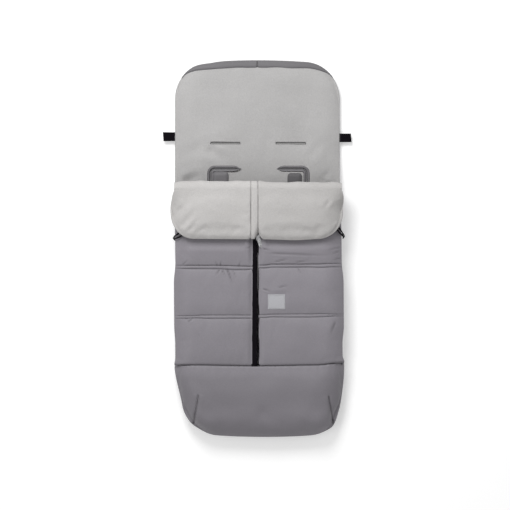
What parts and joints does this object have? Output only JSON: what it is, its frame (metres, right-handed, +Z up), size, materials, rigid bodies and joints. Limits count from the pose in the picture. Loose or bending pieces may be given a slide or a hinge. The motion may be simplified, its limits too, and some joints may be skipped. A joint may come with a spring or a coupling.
{
  "type": "stroller footmuff",
  "caption": "Padded stroller footmuff lying on its back: plush-lined back with harness slots, quilted zip-off front cover, folded plush collar and a rear pocket for the seat.",
  "frame": {"origin": "middle of the base of the bag's bounding box, on the surface it lies on", "axes": "+Y towards the head end, +X towards the right half of the cover as seen from above with the head end up, +Z up out of the front of the bag"},
  "size_m": [0.4886, 0.9795, 0.103],
  "materials": {
    "grey_nylon": "quilted woven nylon with a slight sheen",
    "dark_grey_nylon": "matte woven nylon",
    "white_wadding": "loose polyester wadding",
    "pale_plush": "soft short-pile plush",
    "black_woven": "matte woven tape and nylon coil",
    "silver_metal": "satin plated",
    "black_plastic": "matte",
    "pale_patch": "smooth, left bare"
  },
  "bodies": {
    "back": {"back_shell": "grey_nylon", "back_wadding": "white_wadding", "back_lining": "pale_plush", "head_band_left": "dark_grey_nylon", "head_band_right": "dark_grey_nylon", "seat_pocket": "dark_grey_nylon", "seat_pocket_elastic": "black_woven", "side_tab_left": "black_woven", "side_tab_right": "black_woven", "slit_binding_left": "pale_plush", "slit_binding_right": "pale_plush", "slot_binding_left": "dark_grey_nylon", "slot_binding_right": "dark_grey_nylon", "crotch_slot_binding": "dark_grey_nylon", "slot_pad_left": "dark_grey_nylon", "slot_pad_right": "dark_grey_nylon", "foot_shell": "grey_nylon", "foot_wadding": "white_wadding", "foot_lining": "pale_plush", "back_zip_tape_left": "black_woven", "back_zip_tape_right": "black_woven", "back_zip_coil_left": "black_woven", "back_zip_coil_right": "black_woven"},
    "cover_left": {"cover_shell_left": "grey_nylon", "cover_wadding_left": "white_wadding", "cover_lining_left": "pale_plush", "centre_zip_tape_left": "black_woven", "centre_zip_coil_left": "black_woven", "side_zip_tape_left": "black_woven", "side_zip_coil_left": "black_woven", "zip_guard": "pale_plush", "collar_fold_left": "pale_plush"},
    "cover_right": {"cover_shell_right": "grey_nylon", "cover_wadding_right": "white_wadding", "cover_lining_right": "pale_plush", "centre_zip_tape_right": "black_woven", "centre_zip_coil_right": "black_woven", "side_zip_tape_right": "black_woven", "side_zip_coil_right": "black_woven", "label_patch": "pale_patch", "collar_fold_right": "pale_plush"},
    "collar_left": {"collar_shell_left": "grey_nylon", "collar_wadding_left": "white_wadding", "collar_lining_left": "pale_plush", "collar_guard": "pale_plush", "collar_zip_left": "black_woven"},
    "collar_right": {"collar_shell_right": "grey_nylon", "collar_wadding_right": "white_wadding", "collar_lining_right": "pale_plush", "collar_zip_right": "black_woven"},
    "centre_slider": {"centre_slider": "silver_metal"},
    "centre_pull": {"centre_pull": "silver_metal"},
    "side_slider_left": {"side_slider_left": "black_plastic"},
    "side_slider_right": {"side_slider_right": "black_plastic"},
    "side_pull_left": {"side_pull_left": "black_woven"},
    "side_pull_right": {"side_pull_right": "black_woven"}
  },
  "joints": [
    {"name": "cover_right_fold", "type": "hinge", "parent": "back", "child": "cover_right", "pos_m": [0.1105, -0.303, 0.074], "axis": [1, 0, 0], "range_deg": [0, 120]},
    {"name": "cover_left_fold", "type": "hinge", "parent": "back", "child": "cover_left", "pos_m": [-0.1105, -0.303, 0.074], "axis": [1, 0, 0], "range_deg": [0, 120]},
    {"name": "collar_right_unfold", "type": "hinge", "parent": "cover_right", "child": "collar_right", "pos_m": [0.1105, 0.1535, 0.08225], "axis": [-1, 0, 0], "range_deg": [0, 178], "deforming": ["collar_fold_right"]},
    {"name": "collar_left_unfold", "type": "hinge", "parent": "cover_left", "child": "collar_left", "pos_m": [-0.1105, 0.1535, 0.08225], "axis": [-1, 0, 0], "range_deg": [0, 178], "deforming": ["collar_fold_left"]},
    {"name": "centre_slider_travel", "type": "slide", "parent": "cover_right", "child": "centre_slider", "axis": [0, -1, 0], "range_m": [0, 0.3]},
    {"name": "centre_pull_swing", "type": "hinge", "parent": "centre_slider", "child": "centre_pull", "pos_m": [0, 0.028, 0.0776], "axis": [-0.9397, -0.342, 0], "range_deg": [0, 70]},
    {"name": "side_slider_left_travel", "type": "slide", "parent": "cover_left", "child": "side_slider_left", "axis": [0, -1, 0], "range_m": [0, 0.31]},
    {"name": "side_slider_right_travel", "type": "slide", "parent": "cover_right", "child": "side_slider_right", "axis": [0, -1, 0], "range_m": [0, 0.31]},
    {"name": "side_pull_left_swing", "type": "hinge", "parent": "side_slider_left", "child": "side_pull_left", "pos_m": [-0.2231, 0.023, 0.04115], "axis": [0, -1, 0], "range_deg": [0, 130]},
    {"name": "side_pull_right_swing", "type": "hinge", "parent": "side_slider_right", "child": "side_pull_right", "pos_m": [0.2231, 0.023, 0.04115], "axis": [0, 1, 0], "range_deg": [0, 130]}
  ],
  "couplings": [
    {"joint": "cover_left_fold", "follows": "cover_right_fold", "ratio": 1}
  ]
}
